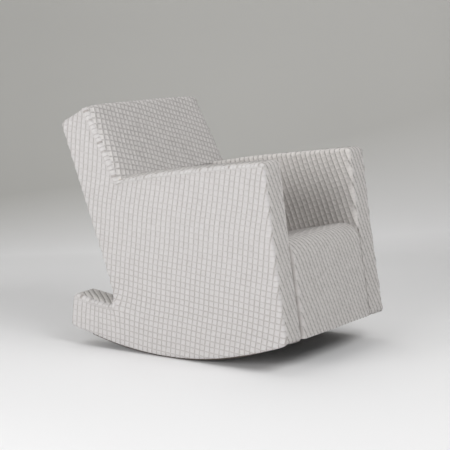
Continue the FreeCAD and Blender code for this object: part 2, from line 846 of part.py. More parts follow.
seat_back_stop = back.inward("-soft_gap").reversed()
seat_foam_view = side_sketch(
    "seat_foam_view",
    [panel.inward("cover"), seat.inward("cover"), seat_back_stop, deck.reversed()],
    {0: "seat_roll-cover"},
)
front_foam_view = side_sketch(
    "front_foam_view",
    [panel.inward("cover"), deck, frame_front.inward("-lining").reversed(), base.inward("dust_sheet")],
)
back_foam_view = side_sketch(
    "back_foam_view",
    [
        back.inward("cover"),
        top.inward("cover"),
        rear.inward("cover"),
        frame_top.reversed(),
        back_deck.reversed(),
        deck.reversed(),
    ],
    {0: "back_round-cover", 1: "rear_round-cover"},
)
rear_foam_lines = [
    frame_rear.inward("-lining").reversed(),
    frame_top,
    rear.inward("cover"),
    base.inward("dust_sheet"),
]
for name, view in (("seat_foam", seat_foam_view), ("front_foam", front_foam_view), ("back_foam", back_foam_view)):
    part(prism(name, view, seat_x, seat_span))
part(prism("rear_foam", side_sketch("rear_foam_view", rear_foam_lines), rail_x, rail_span))

# %% Fabric covers

pair(lambda name: common(name, fabric_skin, slab(name + "_side", outer_x, "edge_round")), "outside_cover")
for name, zone in (("arm_band", arms_zone), ("base_band", base_zone)):
    pair(
        lambda name, zone=zone: common(name, fabric_skin, slab(name + "_span", band_x, band_width), zone),
        name,
    )
for name, zone in (("inside_arm_cover", inside_cover_zone), ("heel_cover", heel_zone)):
    pair(
        lambda name, zone=zone: common(
            name, fabric_skin, slab(name + "_side", inner_x + "-edge_round", "edge_round"), zone
        ),
        name,
    )

full_span = "chair_width-2*edge_round"
back_shell = cut(
    "back_shell",
    prism("back_shell_outside", fabric_outline, band_x, full_span),
    prism("back_shell_inside", foam_outline, band_x, full_span),
)
between_arms_view = side_sketch(
    "between_arms_view",
    [back, arm.inward("-2*crease_round"), back.inward("cover").reversed(), deck.reversed()],
)
between_heels_view = side_sketch(
    "between_heels_view",
    [rear.inward("cover").reversed(), heel_top.inward("-1.5*" + above_notch), rear, base],
)
seat_cover_view = side_sketch(
    "seat_cover_view",
    [panel, seat, seat_back_stop, seat.inward("cover").reversed(), panel.inward("cover").reversed(), base],
    {0: "seat_roll", 3: "seat_roll-cover"},
)
part(
    fused(
        "inside_back_cover",
        common("back_shell_front", back_shell, back_zone),
        prism("between_arms", between_arms_view, seat_x, seat_span),
    )
)
part(
    fused(
        "outside_back_cover",
        common("back_shell_rear", back_shell, rear_zone),
        prism("between_heels", between_heels_view, seat_x, seat_span),
    )
)
part(prism("seat_cover", seat_cover_view, seat_x, seat_span))
dust_cover_view = side_sketch(
    "dust_cover_view",
    [panel.inward("cover"), base.inward("dust_sheet").reversed(), rear.inward("cover"), base],
)
part(prism("dust_cover", dust_cover_view, seat_x, seat_span))

# %% Wear strips under the rockers

runner_x = "-chair_width/2+(side_thickness-runner_width)/2"
floor_view = side_sketch("floor_view", CHAIR_LINES, None, "0")


def wear_strip(name):
    """What lies between the fabric's arc and the floor's, from one end of the strip to the other."""
    reach = doc.addObject("Part::Box", name + "_reach")
    for side, text in (
        ("Length", "runner_width"),
        ("Width", "runner_back_y-runner_front_y"),
        ("Height", "heel_z"),
    ):
        reach.setExpression(side, formula(text))
    for axis, text in (("x", runner_x), ("y", "runner_front_y"), ("z", "-runner_thickness")):
        reach.setExpression("Placement.Base." + axis, formula(text))
    layer = cut(
        name + "_layer",
        prism(name + "_floor", floor_view, runner_x, "runner_width"),
        prism(name + "_fabric", fabric_outline, runner_x, "runner_width"),
    )
    return common(name, layer, reach)


pair(wear_strip, "runner")

# %% Check and export

doc.recompute()
faults = []
for item in doc.Objects:
    if "Invalid" in item.State or "Error" in item.State:
        faults.append("%s is %s" % (item.Name, item.State))
for node in PARTS:
    shape = node.Shape
    if shape.isNull() or not shape.isValid() or not shape.Solids:
        faults.append(node.Name + " has no valid solid")
if faults:
    raise RuntimeError("; ".join(faults))
for node in PARTS:
    node.Shape.exportStep("parts/%s.step" % node.Label)
print(len(PARTS), "sub-parts,", sum(len(node.Shape.Solids) for node in PARTS), "solids")
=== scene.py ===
# %% [markdown]
# # A quilted rocking armchair
# Two thick upholstered slabs stand side by side. Each one is a leaning back, an arm, a front post
# and a curved rocker in one outline. A raked seat and a reclined back hang between them.
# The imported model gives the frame, and this script sews the covers round it: each cover is a
# surface of two parameters, worked out with numpy, with the cells of the quilt raised in its mesh.

import json
import math

import bpy
import numpy as np
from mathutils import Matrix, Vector


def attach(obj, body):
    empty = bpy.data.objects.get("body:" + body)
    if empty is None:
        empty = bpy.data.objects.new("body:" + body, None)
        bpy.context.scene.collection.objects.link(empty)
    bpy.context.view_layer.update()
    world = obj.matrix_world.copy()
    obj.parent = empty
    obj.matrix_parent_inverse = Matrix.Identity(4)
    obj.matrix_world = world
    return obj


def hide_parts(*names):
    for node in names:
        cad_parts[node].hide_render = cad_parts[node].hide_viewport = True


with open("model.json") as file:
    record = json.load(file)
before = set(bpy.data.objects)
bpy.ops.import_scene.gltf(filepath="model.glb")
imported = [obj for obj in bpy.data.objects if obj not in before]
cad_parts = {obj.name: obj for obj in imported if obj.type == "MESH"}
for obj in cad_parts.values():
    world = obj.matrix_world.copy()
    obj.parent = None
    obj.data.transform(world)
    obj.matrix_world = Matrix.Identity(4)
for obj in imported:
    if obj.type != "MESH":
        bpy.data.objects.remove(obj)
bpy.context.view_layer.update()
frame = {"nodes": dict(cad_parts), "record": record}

# %% [markdown]
# ## Camera
# The photograph was taken with a long lens from the chair's right front, a little above the arms.
# Its corners gave the direction, the distance and the focal length.

# %% Camera
TARGET = Vector((0.0, -0.0013, 0.4189))
AZIMUTH, ELEVATION, DISTANCE = math.radians(-56.72), math.radians(8.43), 5.378
to_camera = Vector(
    (
        math.sin(AZIMUTH) * math.cos(ELEVATION),
        -math.cos(AZIMUTH) * math.cos(ELEVATION),
        math.sin(ELEVATION),
    )
)
LENS, SENSOR = 120.94, 36.0  # millimetres
camera_data = bpy.data.cameras.new("camera")
camera_data.lens, camera_data.sensor_width = LENS, SENSOR
camera = bpy.data.objects.new("camera", camera_data)
camera.location = TARGET + to_camera * DISTANCE
camera.rotation_mode = "QUATERNION"
camera.rotation_quaternion = (-to_camera).to_track_quat("-Z", "Y")
bpy.context.scene.collection.objects.link(camera)
bpy.context.scene.camera = camera
bpy.context.scene.view_settings.view_transform = "Standard"
print("camera at", [round(v, 3) for v in camera.location])

# %% [markdown]
# ## The side view
# Every cover follows one closed outline, seen from the side: y runs to the rear and z up. Straight
# edges meet at corners that the foam rounds off, and two arcs with a common lowest point make the
# rocker. The sizes are those of the model, in metres, and the leans are in degrees.

# %% Corners of the outline
HALF_WIDTH, SLAB = 0.340, 0.110  # half the chair's width, and a slab's thickness
FRONT_LEAN, ARM_FALL, BACK_LEAN, TOP_FALL = 8.0, 7.2, 30.8, 26.2
REAR_LEAN, HEEL_RISE, HEEL_LEAN, BASE_RISE = 21.2, 8.5, 7.2, 3.9
# where the two arcs meet, their radii, and the thickness of the wear strip
ROCKING_Y, FRONT_RADIUS, BACK_RADIUS, STRIP = 0.013, 1.115, 1.320, 0.004


def heading(degrees):
    """Unit vector at that angle from +y."""
    return np.array([math.cos(math.radians(degrees)), math.sin(math.radians(degrees))])


def crossing(start, way, other, other_way):
    """Where two lines meet: start + t way = other + u other_way, solved for t and u."""
    travel = np.linalg.solve(np.column_stack([way, -other_way]), other - start)
    return start + travel[0] * way


def arc_height(y):
    """Height of the fabric under the rocker: a circle's lower half, on either side of one line."""
    radius = np.where(y < ROCKING_Y, FRONT_RADIUS, BACK_RADIUS)
    return radius - np.sqrt((radius - STRIP) ** 2 - (y - ROCKING_Y) ** 2)


def down_to_arc(start, way):
    """Where a line from start meets the rocker's arc, by sliding along it a few times."""
    spot = start
    for _ in range(30):
        spot = spot + way * (spot[1] - arc_height(spot[0])) / -way[1]
    return spot


ARM_FRONT = np.array([-0.3696, 0.695])
BACK_TOP = np.array([0.348, 0.846])
HEEL_TOP = np.array([0.417, 0.187])
TOP_WIDTH = 0.134
TOE_WAY, HEEL_WAY = heading(-24), heading(18)  # directions of the arc at its two ends
REAR_TOP = BACK_TOP + TOP_WIDTH * heading(-TOP_FALL)
CREASE = crossing(ARM_FRONT, heading(-ARM_FALL), BACK_TOP, heading(90 - BACK_LEAN))
NOTCH = crossing(REAR_TOP, heading(90 - REAR_LEAN), HEEL_TOP, heading(HEEL_RISE))
ARM_REAR = crossing(ARM_FRONT, heading(-ARM_FALL), REAR_TOP, heading(90 - REAR_LEAN))
FRONT_FOOT = crossing(ARM_FRONT, heading(90 - FRONT_LEAN), NOTCH, heading(BASE_RISE))
TOE = down_to_arc(FRONT_FOOT, -heading(90 - FRONT_LEAN))
HEEL_FOOT = down_to_arc(HEEL_TOP, heading(HEEL_LEAN - 90))
for word, corner in (("crease", CREASE), ("notch", NOTCH), ("toe", TOE), ("heel", HEEL_FOOT)):
    print(word, corner.round(3))

# %% [markdown]
# ## Soft corners
# Foam never keeps a sharp corner. Near a corner each point slides towards its inside, more the
# closer it is, so that two straight edges become one curve that still touches both. The same move
# fills a hollow corner, because there the two edges lead away from it on the other side.

# %% Easing corners
def unit(vector):
    """The same direction with length 1."""
    return vector / np.linalg.norm(vector)


def ease(points, corner, before, after, radius):
    """p + (1 - r / reach)^2 reach / 4 (e1 + e2), where r is the distance from the corner."""
    first, second = unit(before - corner), unit(after - corner)
    half_angle = math.acos(np.clip(first @ second, -1, 1)) / 2
    reach = radius / math.tan(half_angle)
    closeness = np.clip(1 - np.linalg.norm(points - corner, axis=-1) / reach, 0, 1)
    return points + (closeness**2)[..., None] * (reach / 4) * (first + second)


OUTLINE_CORNERS = (
    # corner, the corners next to it, radius
    (ARM_FRONT, TOE, CREASE, 0.018),
    (CREASE, ARM_FRONT, BACK_TOP, 0.008),
    (BACK_TOP, CREASE, REAR_TOP, 0.015),
    (REAR_TOP, BACK_TOP, NOTCH, 0.022),
    (NOTCH, REAR_TOP, HEEL_TOP, 0.028),
    (HEEL_TOP, NOTCH, HEEL_FOOT, 0.016),
    (HEEL_FOOT, HEEL_TOP, HEEL_FOOT - HEEL_WAY, 0.016),
    (TOE, ARM_FRONT, TOE + TOE_WAY, 0.015),
)


def eased(points):
    """Round off every corner of the outline."""
    for corner in OUTLINE_CORNERS:
        points = ease(points, *corner)
    return points


# %% [markdown]
# ## How the foam has settled
# Straight lines only describe a new cushion. On this chair the cloth is pulled down where arm and
# back meet, and the outer edges of the arm, the back and the heel's top are worn round. The lower
# end of the rear edge swings out towards the heel, and the front's foot is pushed out. Below the
# heel the cloth hangs free of the rocker. It sags at the toe too, but not over the wear strip.

# %% Settling
def to_segment(points, a, b):
    """Distance of points from the straight piece between a and b."""
    way = b - a
    share = np.clip(((points - a) @ way) / (way @ way), 0, 1)
    return np.linalg.norm(points - a - share[..., None] * way, axis=-1)


def to_arc(points):
    """Distance of points from the rocker's arc."""
    radius = np.where(points[..., 0] < ROCKING_Y, FRONT_RADIUS, BACK_RADIUS)
    reach = np.hypot(points[..., 0] - ROCKING_Y, points[..., 1] - radius)
    return np.abs(radius - STRIP - reach)


def to_point(points, spot):
    """Distance of points from one spot."""
    return np.linalg.norm(points - spot, axis=1)


def bell(distance, width):
    """1 at the place itself, fading away over a few widths."""
    return np.exp(-((distance / width) ** 2))


def ramp(value, start, length):
    """0 up to the start, 1 from a length further on, and a straight line in between."""
    return np.clip((value - start) / length, 0, 1)


MOVES = {
    # how far the foam or cloth has moved there, and the width of the bell curve, in metres
    "crease": (0.0085, 0.12),
    "rear edge": (0.0125, 0.07),
    "heel": (0.008, 0.022),
    "back edge": (0.010, 0.022),
    "arm": (0.013, 0.028),
    "top": (0.0045, 0.05),
    "under heel": (0.005, 0.03),
    "under toe": (0.0055, 0.05),
    "front": (0.008, 0.06),
}
STRIP_X, STRIP_REACH = 0.285, 0.038  # middle of the wear strip, and its half width with some air


def push(place, distance):
    """How far points at these distances from the place are moved."""
    amount, width = MOVES[place]
    return amount * bell(distance, width)


def settled(points):
    """Move points by soft pushes, each a bell curve of the distance to its place. A ramp keeps a
    push to one part: to the outer side by x, down by -z, to the front by -y, to the rear by y."""
    points = points.copy()
    x, side_view = np.abs(points[:, 0]), points[:, 1:].copy()
    y, z = side_view.T
    flare = push("rear edge", to_segment(side_view, REAR_TOP, NOTCH)) * ramp(-z, -0.31, 0.155) ** 2
    droop = push("heel", to_segment(side_view, NOTCH, HEEL_TOP)) * ramp(x, 0.295, 0.035) ** 2
    droop *= np.clip(to_point(side_view, HEEL_TOP) / 0.08, 0.3, 1)
    soft = push("back edge", to_segment(side_view, CREASE, BACK_TOP)) * ramp(x, 0.285, 0.045) ** 2
    worn = push("arm", to_segment(side_view, ARM_FRONT, CREASE)) * ramp(x, 0.235, 0.095) ** 1.2
    worn *= 1 - 0.8 * ramp(to_point(side_view, CREASE), 0, 0.45)
    hang = push("under heel", to_arc(side_view)) * ramp(y, 0.34, 0.06) ** 2
    sag = push("under toe", to_arc(side_view)) * ramp(-y, 0.27, 0.15)
    sag *= ramp(np.abs(x - STRIP_X), STRIP_REACH, 0.010)
    foot = push("front", to_segment(side_view, TOE, ARM_FRONT)) * ramp(-z, -0.46, 0.36) ** 1.3
    sinking = push("crease", to_point(side_view, CREASE)) + droop + worn + hang + sag
    # the front of the far slab, on the side of +x, is pushed outwards as well
    points[:, 0] += np.clip(points[:, 0] / HALF_WIDTH - 0.8, 0, None) * 5 * foot
    points[:, 1] += flare * heading(HEEL_RISE)[0] + soft * heading(-BACK_LEAN)[0] - foot
    points[:, 2] += flare * heading(HEEL_RISE)[1] + soft * heading(-BACK_LEAN)[1]
    points[:, 2] += push("top", to_point(side_view, BACK_TOP)) - sinking
    return points


# %% [markdown]
# ## The quilt
# The cloth is woven in raised square cells. Deep grooves run along its ribs, nearly twice as deep
# between two rows as where a row crosses them, and shallower grooves part the rows. Each cover
# is cut at its own slant. The place of a point in the cloth, counted in cells, goes into the
# piece's UV map, so that mesh and colour share one lattice.

# %% Relief of the quilt
PITCH = 0.0196  # size of a cell
STEP = 0.0025  # size of a mesh face
RIB_DEPTH, ROW_DEPTH, CROWN = 0.0025, 0.0013, 0.0007
RIB_WIDTH, ROW_WIDTH = 0.15, 0.13  # in cells
CROSSED = 0.45  # share of a rib's depth that is lost where a row crosses it


def on_cloth(across, along, slant):
    """Turn a place on a cover by the slant of its ribs, in degrees, and count it in cells."""
    turn = math.radians(slant)
    rib = (across * math.cos(turn) - along * math.sin(turn)) / PITCH
    row = (across * math.sin(turn) + along * math.cos(turn)) / PITCH
    drift = 0.10 * np.sin(0.21 * row + 0.05 * rib) + 0.05 * np.sin(0.63 * row + 1.7)
    sway = 0.08 * np.sin(0.17 * rib + 0.4) + 0.05 * np.sin(0.53 * rib - 0.09 * row)
    return np.stack([rib + drift, row + sway], axis=-1)


def quilt_height(cells):
    """Grooves as bell curves of the distance to the next rib or row, on gently crowned cells."""
    rib, row = np.abs(cells - np.rint(cells)).T
    rib_groove, row_groove = bell(rib, RIB_WIDTH), bell(row, ROW_WIDTH)
    return (
        CROWN * np.sin(math.pi * rib) * np.sin(math.pi * row)
        - RIB_DEPTH * rib_groove * (1 - CROSSED * row_groove)
        - ROW_DEPTH * row_groove * (1 - rib_groove)
    )


# %% [markdown]
# ## From grids to meshes
# A cover is one or more grids of points. Neighbouring grids share their border points, which are
# merged, and then the quilt's relief moves each point along the surface's own normal.

# %% Mesh helpers
def grid_faces(rows, columns, flip):
    """Corner numbers of the quads between neighbouring grid points."""
    corner = np.arange(rows * columns).reshape(rows, columns)
    quads = np.stack([corner[:-1, :-1], corner[:-1, 1:], corner[1:, 1:], corner[1:, :-1]], axis=-1)
    return quads.reshape(-1, 4)[:, :: -1 if flip else 1]


def new_object(name, points, quads, cells):
    """Put arrays of points, quads and cloth places into a new smooth mesh."""
    mesh = bpy.data.meshes.new(name)
    mesh.vertices.add(len(points))
    mesh.vertices.foreach_set("co", points.ravel())
    mesh.loops.add(quads.size)
    mesh.loops.foreach_set("vertex_index", quads.ravel())
    mesh.polygons.add(len(quads))
    mesh.polygons.foreach_set("loop_start", np.arange(0, quads.size, 4))
    mesh.update(calc_edges=True)
    mesh.polygons.foreach_set("use_smooth", np.ones(len(quads), dtype=bool))
    cloth = mesh.uv_layers.new(name="Cloth")
    cloth.data.foreach_set("uv", cells[quads.ravel()].ravel())
    obj = bpy.data.objects.new(name, mesh)
    bpy.context.scene.collection.objects.link(obj)
    return obj


def merged(points, quads, cells):
    """Give points that lie at the same place one number, and drop quads that have collapsed."""
    microns = (points * 1e6).round().astype(np.int64)
    _, first, number = np.unique(microns, axis=0, return_index=True, return_inverse=True)
    quads = number.ravel()[quads]
    whole = (quads != np.roll(quads, 1, axis=1)).all(axis=1)
    return points[first], quads[whole], cells[first]


def cover(name, grids):
    """Sew grids into one cover. A grid is points, cells, relief strength, seam depth and a flip."""
    points, quads, cells, strength, seams = [], [], [], [], []
    count = 0
    for spots, places, share, seam, flip in grids:
        quads.append(grid_faces(*spots.shape[:2], flip) + count)
        points.append(spots.reshape(-1, 3))
        cells.append(places.reshape(-1, 2))
        strength.append(np.broadcast_to(share, spots.shape[:2]).ravel())
        seams.append(np.broadcast_to(seam, spots.shape[:2]).ravel())
        count += spots.shape[0] * spots.shape[1]
    cells = np.column_stack([np.concatenate(part) for part in (cells, strength, seams)])
    points, quads, cells = merged(np.concatenate(points), np.concatenate(quads), cells)
    points = settled(points)
    obj = new_object(name, points, quads, cells[:, :2])
    normals = np.empty(points.size)
    obj.data.vertex_normals.foreach_get("vector", normals)
    height = quilt_height(cells[:, :2]) * cells[:, 2] - cells[:, 3]
    raised = points + normals.reshape(-1, 3) * height[:, None]
    obj.data.vertices.foreach_set("co", raised.ravel())
    obj.data.update()
    print(name, len(points), "points", len(quads), "quads")
    return obj


# %% [markdown]
# ## Flat faces of the slabs
# The outer and inner face of a slab fill the whole outline. The outline is not convex, so three
# patches share the work: the body under the arm, the back above it, and the rocker with its heel.
# In each patch straight lines join two opposite edges. Near the outline the face curls over the
# edge in a quarter circle and ends in the seam.

# %% Patches of the side face
EDGE = 0.012  # radius of the curl over an edge
SEAM_DEPTH = 0.0035
ROCKER_HEIGHT = 0.09


def curl_steps(radius):
    """Places along a radius that cut its quarter circle into equal arcs."""
    return radius * (1 - np.cos(np.radians(np.arange(0, 90, 15))))


def stations(length, start=True, end=True):
    """Fractions of a length, STEP apart, and set closer where the face curls over an edge."""
    curl = curl_steps(EDGE)
    low, high = EDGE * start, length - EDGE * end
    middle = np.linspace(low, high, max(2, round((high - low) / STEP)))
    parts = [curl] * start + [middle] + [length - curl[::-1]] * end
    return np.concatenate(parts) / length


def between(low, high, fractions):
    """Points on the straight lines from low to high."""
    low, high = np.asarray(low), np.asarray(high)
    return low + fractions[..., None] * (high - low)


def length_of(a, b):
    """Distance between two points."""
    return float(np.linalg.norm(np.asarray(b) - np.asarray(a)))


def ruled(low_edge, high_edge, fractions):
    """Rows of points between two edges that have the same number of points."""
    return low_edge[None] + fractions[:, None, None] * (high_edge - low_edge)[None]


front_part = stations(length_of(ARM_FRONT, CREASE))
rear_part = stations(length_of(CREASE, ARM_REAR))
heel_part = stations(length_of(NOTCH, HEEL_TOP), start=False)
arm_edge = between(ARM_FRONT, CREASE, front_part)
neck_edge = between(CREASE, ARM_REAR, rear_part)
arm_line = np.concatenate([arm_edge, neck_edge[1:]])
arm_share = np.linalg.norm(arm_line - ARM_FRONT, axis=1) / length_of(ARM_FRONT, ARM_REAR)
body_low = between(FRONT_FOOT, NOTCH, arm_share)
heel_edge = between(NOTCH, HEEL_TOP, heel_part)
body_rows = stations(length_of(FRONT_FOOT, ARM_FRONT), start=False)
back_rows = stations(length_of(CREASE, BACK_TOP), start=False)
rocker_rows = stations(ROCKER_HEIGHT)


def arc_edge(share, start, end):
    """Points on the rocker's arc, spaced along y as the shares say."""
    y = start + share * (end - start)
    return np.stack([y, arc_height(y)], axis=-1)


under_body = arc_edge(arm_share, TOE[0], NOTCH[0])
under_heel = arc_edge(heel_part, NOTCH[0], HEEL_FOOT[0])
body_patch = ruled(body_low, arm_line, body_rows)
back_patch = ruled(neck_edge, between(BACK_TOP, REAR_TOP, rear_part), back_rows)
rocker_patch = ruled(
    np.concatenate([under_body, under_heel[1:]]),
    np.concatenate([body_low, heel_edge[1:]]),
    rocker_rows,
)
print("patches", body_patch.shape, back_patch.shape, rocker_patch.shape)

# %% [markdown]
# How deep a point of the face lies under the flat plane depends only on how near it is to the
# outline. Squares of the missing distances to all edges are added, so that two edges that meet
# make a rounded corner like a ball's.

# %% Depth over the edge
def edge_distances(points):
    """One distance for each run of the outline that has no outward corner in it."""
    return [
        to_segment(points, TOE, ARM_FRONT),
        np.minimum(to_segment(points, ARM_FRONT, CREASE), to_segment(points, CREASE, BACK_TOP)),
        to_segment(points, BACK_TOP, REAR_TOP),
        np.minimum(to_segment(points, REAR_TOP, NOTCH), to_segment(points, NOTCH, HEEL_TOP)),
        to_segment(points, HEEL_TOP, HEEL_FOOT),
        to_arc(points),
    ]


def curl_depth(distances):
    """Depth below the flat face: EDGE - sqrt(EDGE^2 - sum of (EDGE - d)^2)."""
    missing = sum(np.clip(EDGE - d, 0, None) ** 2 for d in distances)
    return EDGE - np.sqrt(np.clip(EDGE**2 - missing, 0, None))


def in_space(x, side_view):
    """Side-view points (y, z) with their x."""
    x = np.broadcast_to(x, side_view.shape[:-1])
    return np.concatenate([x[..., None], side_view], axis=-1)


SWELL, WAVES, SWELL_REACH = 0.0025, 0.0006, 0.07
INNER_SWELL = 0.2  # an inner face swells by this share of an outer one


def swell(side_view, rim):
    """The foam lifts a face a little in its middle, and hand fitting leaves soft waves in it."""
    y, z = side_view[..., 0], side_view[..., 1]
    wave = np.sin(13 * y + 5 * z) * np.sin(9 * z - 4 * y + 1) + 0.5 * np.sin(31 * y - 17 * z)
    return (SWELL + WAVES * wave) * (1 - bell(rim, SWELL_REACH))


WRAPS = (
    # a run of the outline, how far the band's cloth wraps over it, spacing of its gathers
    (ARM_FRONT, CREASE, 0.013, 0.0165),
    (CREASE, BACK_TOP, 0.022, 0.0165),
    (NOTCH, HEEL_TOP, 0.014, 0.0200),
)
GATHER_LENGTH, GATHER_STRENGTH = 0.04, 1.2
SUNK_DEPTH, SUNK_WIDTH = 0.0018, 0.0022
SEWN_FADE, SMOOTH_FADE = 0.003, 0.008  # how far from a border the cells reach their full relief


def wrap(patch, cells):
    """Give the cloth near some edges short gathers across the edge, ended by a sunk seam."""
    strength, seam = np.ones(patch.shape[:-1]), np.zeros(patch.shape[:-1])
    for start, end, width, spacing in WRAPS:
        distance = to_segment(patch, start, end)
        along = (patch - start) @ unit(end - start)
        inside = distance < width
        uneven = along / spacing + 0.15 * np.sin(9 * along / spacing)
        gathers = np.stack([uneven, (distance - width) / GATHER_LENGTH], axis=-1)
        cells = np.where(inside[..., None], gathers, cells)
        strength = np.where(inside, GATHER_STRENGTH, strength)
        seam = np.maximum(seam, SUNK_DEPTH * bell(distance - width, SUNK_WIDTH))
    return cells, strength, seam


def slab_face(patch, side, outer, slant):
    """One patch of a slab's face. side is -1 for the sitter's right, outer -1 for an inner face."""
    distances = edge_distances(patch)
    rim = np.minimum.reduce(distances)
    depth = curl_depth(distances) - swell(patch, rim) * (1.0 if outer > 0 else INNER_SWELL)
    plane = HALF_WIDTH if outer > 0 else HALF_WIDTH - SLAB
    x = side * (plane - outer * depth)
    cells = on_cloth(patch[..., 0], patch[..., 1], slant)
    if outer > 0:
        cells, strength, seam = wrap(patch, cells)
    else:
        strength, seam = ramp(rim, 0, SMOOTH_FADE), 0.0
    return in_space(x, eased(patch)), cells, strength * ramp(rim, 0, SEWN_FADE), seam


# %% [markdown]
# ## Strips that run round the slab
# The bands on the edges, the back and the seat are strips: a path in the side view, carried across
# from one side to the other, and the cloth's slant is measured from the path. The cells fade out
# towards a border. A rounded border drops steeply below its round, as a plain wall beside the arm.

# %% Paths and strips
def path_lengths(points):
    """How far along the path each point lies."""
    runs = np.linalg.norm(np.diff(points, axis=0), axis=1)
    return np.concatenate([[0], np.cumsum(runs)])


def path(corners):
    """A broken line with points at the same distance all along."""
    corners = np.asarray(corners)
    places = path_lengths(corners)
    s = np.linspace(0, places[-1], round(places[-1] / STEP) + 1)
    return np.stack([np.interp(s, places, corners[:, k]) for k in (0, 1)], axis=-1)


def outward(points):
    """Unit normals on the left of the path's direction."""
    way = np.gradient(points, axis=0)
    way /= np.linalg.norm(way, axis=1)[:, None]
    return np.stack([-way[:, 1], way[:, 0]], axis=-1)


SEAM_WIDTH, NARROWEST_CURL = 0.0025, 0.004
WALL_DEPTH, WALL_WIDTH, ROUND_FADE = 0.018, 0.0013, 0.010
PLAIN_WIDTH = 0.0027  # a wall's cloth shows no groove, so its lines don't run down as stripes
BOTH, NONE = (True, True), (False, False)


def strip(points, x_low, x_high, slant, crown=0.001, rounds=(0, 0), seams=BOTH, ends=BOTH):
    """Carry a path across. rounds are the radii of rounded long borders, seams says which of the
    others are sewn and not smooth, and ends which ends of the path are sunk into a seam."""
    s = path_lengths(points)
    normal = outward(points)
    x_low = np.broadcast_to(x_low, len(s))
    x_high = np.broadcast_to(x_high, len(s))
    width = float((x_high - x_low).max())
    border = max(*rounds, NARROWEST_CURL)
    curl = curl_steps(border)
    inner = np.linspace(border, width - border, max(2, round((width - 2 * border) / STEP)))
    across = np.concatenate([curl, inner, width - curl[::-1]]) / width
    x = x_low[:, None] + across[None] * (x_high - x_low)[:, None]
    lift = crown * (1 - ((2 * across - 1) ** 4))[None] + 0 * x
    strength, cells = np.ones(x.shape), on_cloth(x, s[:, None] + 0 * x, slant)
    for rim, radius, sewn in zip((x - x_low[:, None], x_high[:, None] - x), rounds, seams):
        if radius:
            missing = np.clip(radius - rim, 0, None) ** 2
            lift -= radius - np.sqrt(np.clip(radius**2 - missing, 0, None))
            lift -= WALL_DEPTH * bell(rim, WALL_WIDTH)
            strength *= ramp(rim, 0, ROUND_FADE)
            cells = np.where((rim < PLAIN_WIDTH)[..., None], np.floor(cells) + 0.5, cells)
        else:
            strength *= ramp(rim, 0, SEWN_FADE if sewn else SMOOTH_FADE)
    for gap, sewn in zip((s, s[-1] - s), ends):
        if sewn:
            lift -= SEAM_DEPTH * bell(gap, SEAM_WIDTH)[:, None]
    side_view = points[:, None] + lift[..., None] * normal[:, None]
    return in_space(x, side_view), cells, strength, 0.0


# %% [markdown]
# ## Shader maths as Python expressions
# A small class wraps a socket. An expression on it adds the Math nodes, so the materials below
# read like formulas.

# %% Node helper
class Value:
    """A number socket that can be used in expressions."""

    def __init__(self, graph, socket):
        self.graph, self.socket = graph, socket

    def _maths(self, operation, *others):
        made = self.graph.node("ShaderNodeMath", {"operation": operation}, self, *others)
        return Value(self.graph, made.outputs[0])

    def __add__(self, other):
        return self._maths("ADD", other)

    def __sub__(self, other):
        return self._maths("SUBTRACT", other)

    def __mul__(self, other):
        return self._maths("MULTIPLY", other)

    def __truediv__(self, other):
        return self._maths("DIVIDE", other)

    def __rsub__(self, other):
        return (self * -1.0)._maths("ADD", other)

    def exp(self):
        return self._maths("EXPONENT")

    def sin(self):
        return self._maths("SINE")

    def absolute(self):
        return self._maths("ABSOLUTE")

    def fraction(self):
        return self._maths("FRACT")

    def floor(self):
        return self._maths("FLOOR")

    def clamped(self):
        return self._maths("MAXIMUM", 0.0)._maths("MINIMUM", 1.0)


class Graph:
    """The nodes of one new material."""

    def __init__(self, name):
        self.material = bpy.data.materials.new(name)
        self.material.use_nodes = True
        self.tree = self.material.node_tree
        self.shader = next(n for n in self.tree.nodes if n.type == "BSDF_PRINCIPLED")

    def node(self, kind, settings, *inputs, **named):
        """Add a node. Inputs are given in order or by name, with _ for a space."""
        made = self.tree.nodes.new(kind)
        for key, setting in settings.items():
            setattr(made, key, setting)
        for key, entry in list(enumerate(inputs)) + list(named.items()):
            self.feed(made.inputs[key.replace("_", " ") if isinstance(key, str) else key], entry)
        return made

    def feed(self, socket, entry):
        """Link a socket or a Value, or set a plain number or colour."""
        if isinstance(entry, Value):
            entry = entry.socket
        if isinstance(entry, bpy.types.NodeSocket):
            self.tree.links.new(entry, socket)
        elif entry is not None:
            socket.default_value = entry

    def value(self, socket):
        return Value(self, socket)

    def noise(self, vector, scale, detail):
        inputs = {"Vector": vector, "Scale": scale, "Detail": detail, "Roughness": 0.6}
        return self.value(self.node("ShaderNodeTexNoise", {}, **inputs).outputs[0])

    def split(self, vector):
        """The numbers in a vector."""
        parts = self.node("ShaderNodeSeparateXYZ", {}, vector).outputs
        return [self.value(part) for part in parts]

    def place(self):
        """Where a point is in its own piece, in metres."""
        return self.node("ShaderNodeTexCoord", {}).outputs["Object"]

    def mix(self, share, first, second):
        """Blend two colours."""
        made = self.node("ShaderNodeMix", {"data_type": "RGBA"})
        self.feed(made.inputs["Factor"], share)
        colours = [i for i in made.inputs if i.type == "RGBA"]
        self.feed(colours[0], first)
        self.feed(colours[1], second)
        return next(o for o in made.outputs if o.type == "RGBA")

    def bump(self, height, distance, strength=1.0):
        """Let a height tilt the surface's normals."""
        made = self.node("ShaderNodeBump", {}, Height=height, Distance=distance, Strength=strength)
        self.feed(self.shader.inputs["Normal"], made.outputs[0])

    def finish(self, **settings):
        """Set or link inputs of the shader, and give the material."""
        for key, entry in settings.items():
            self.feed(self.shader.inputs[key.replace("_", " ")], entry)
        return self.material
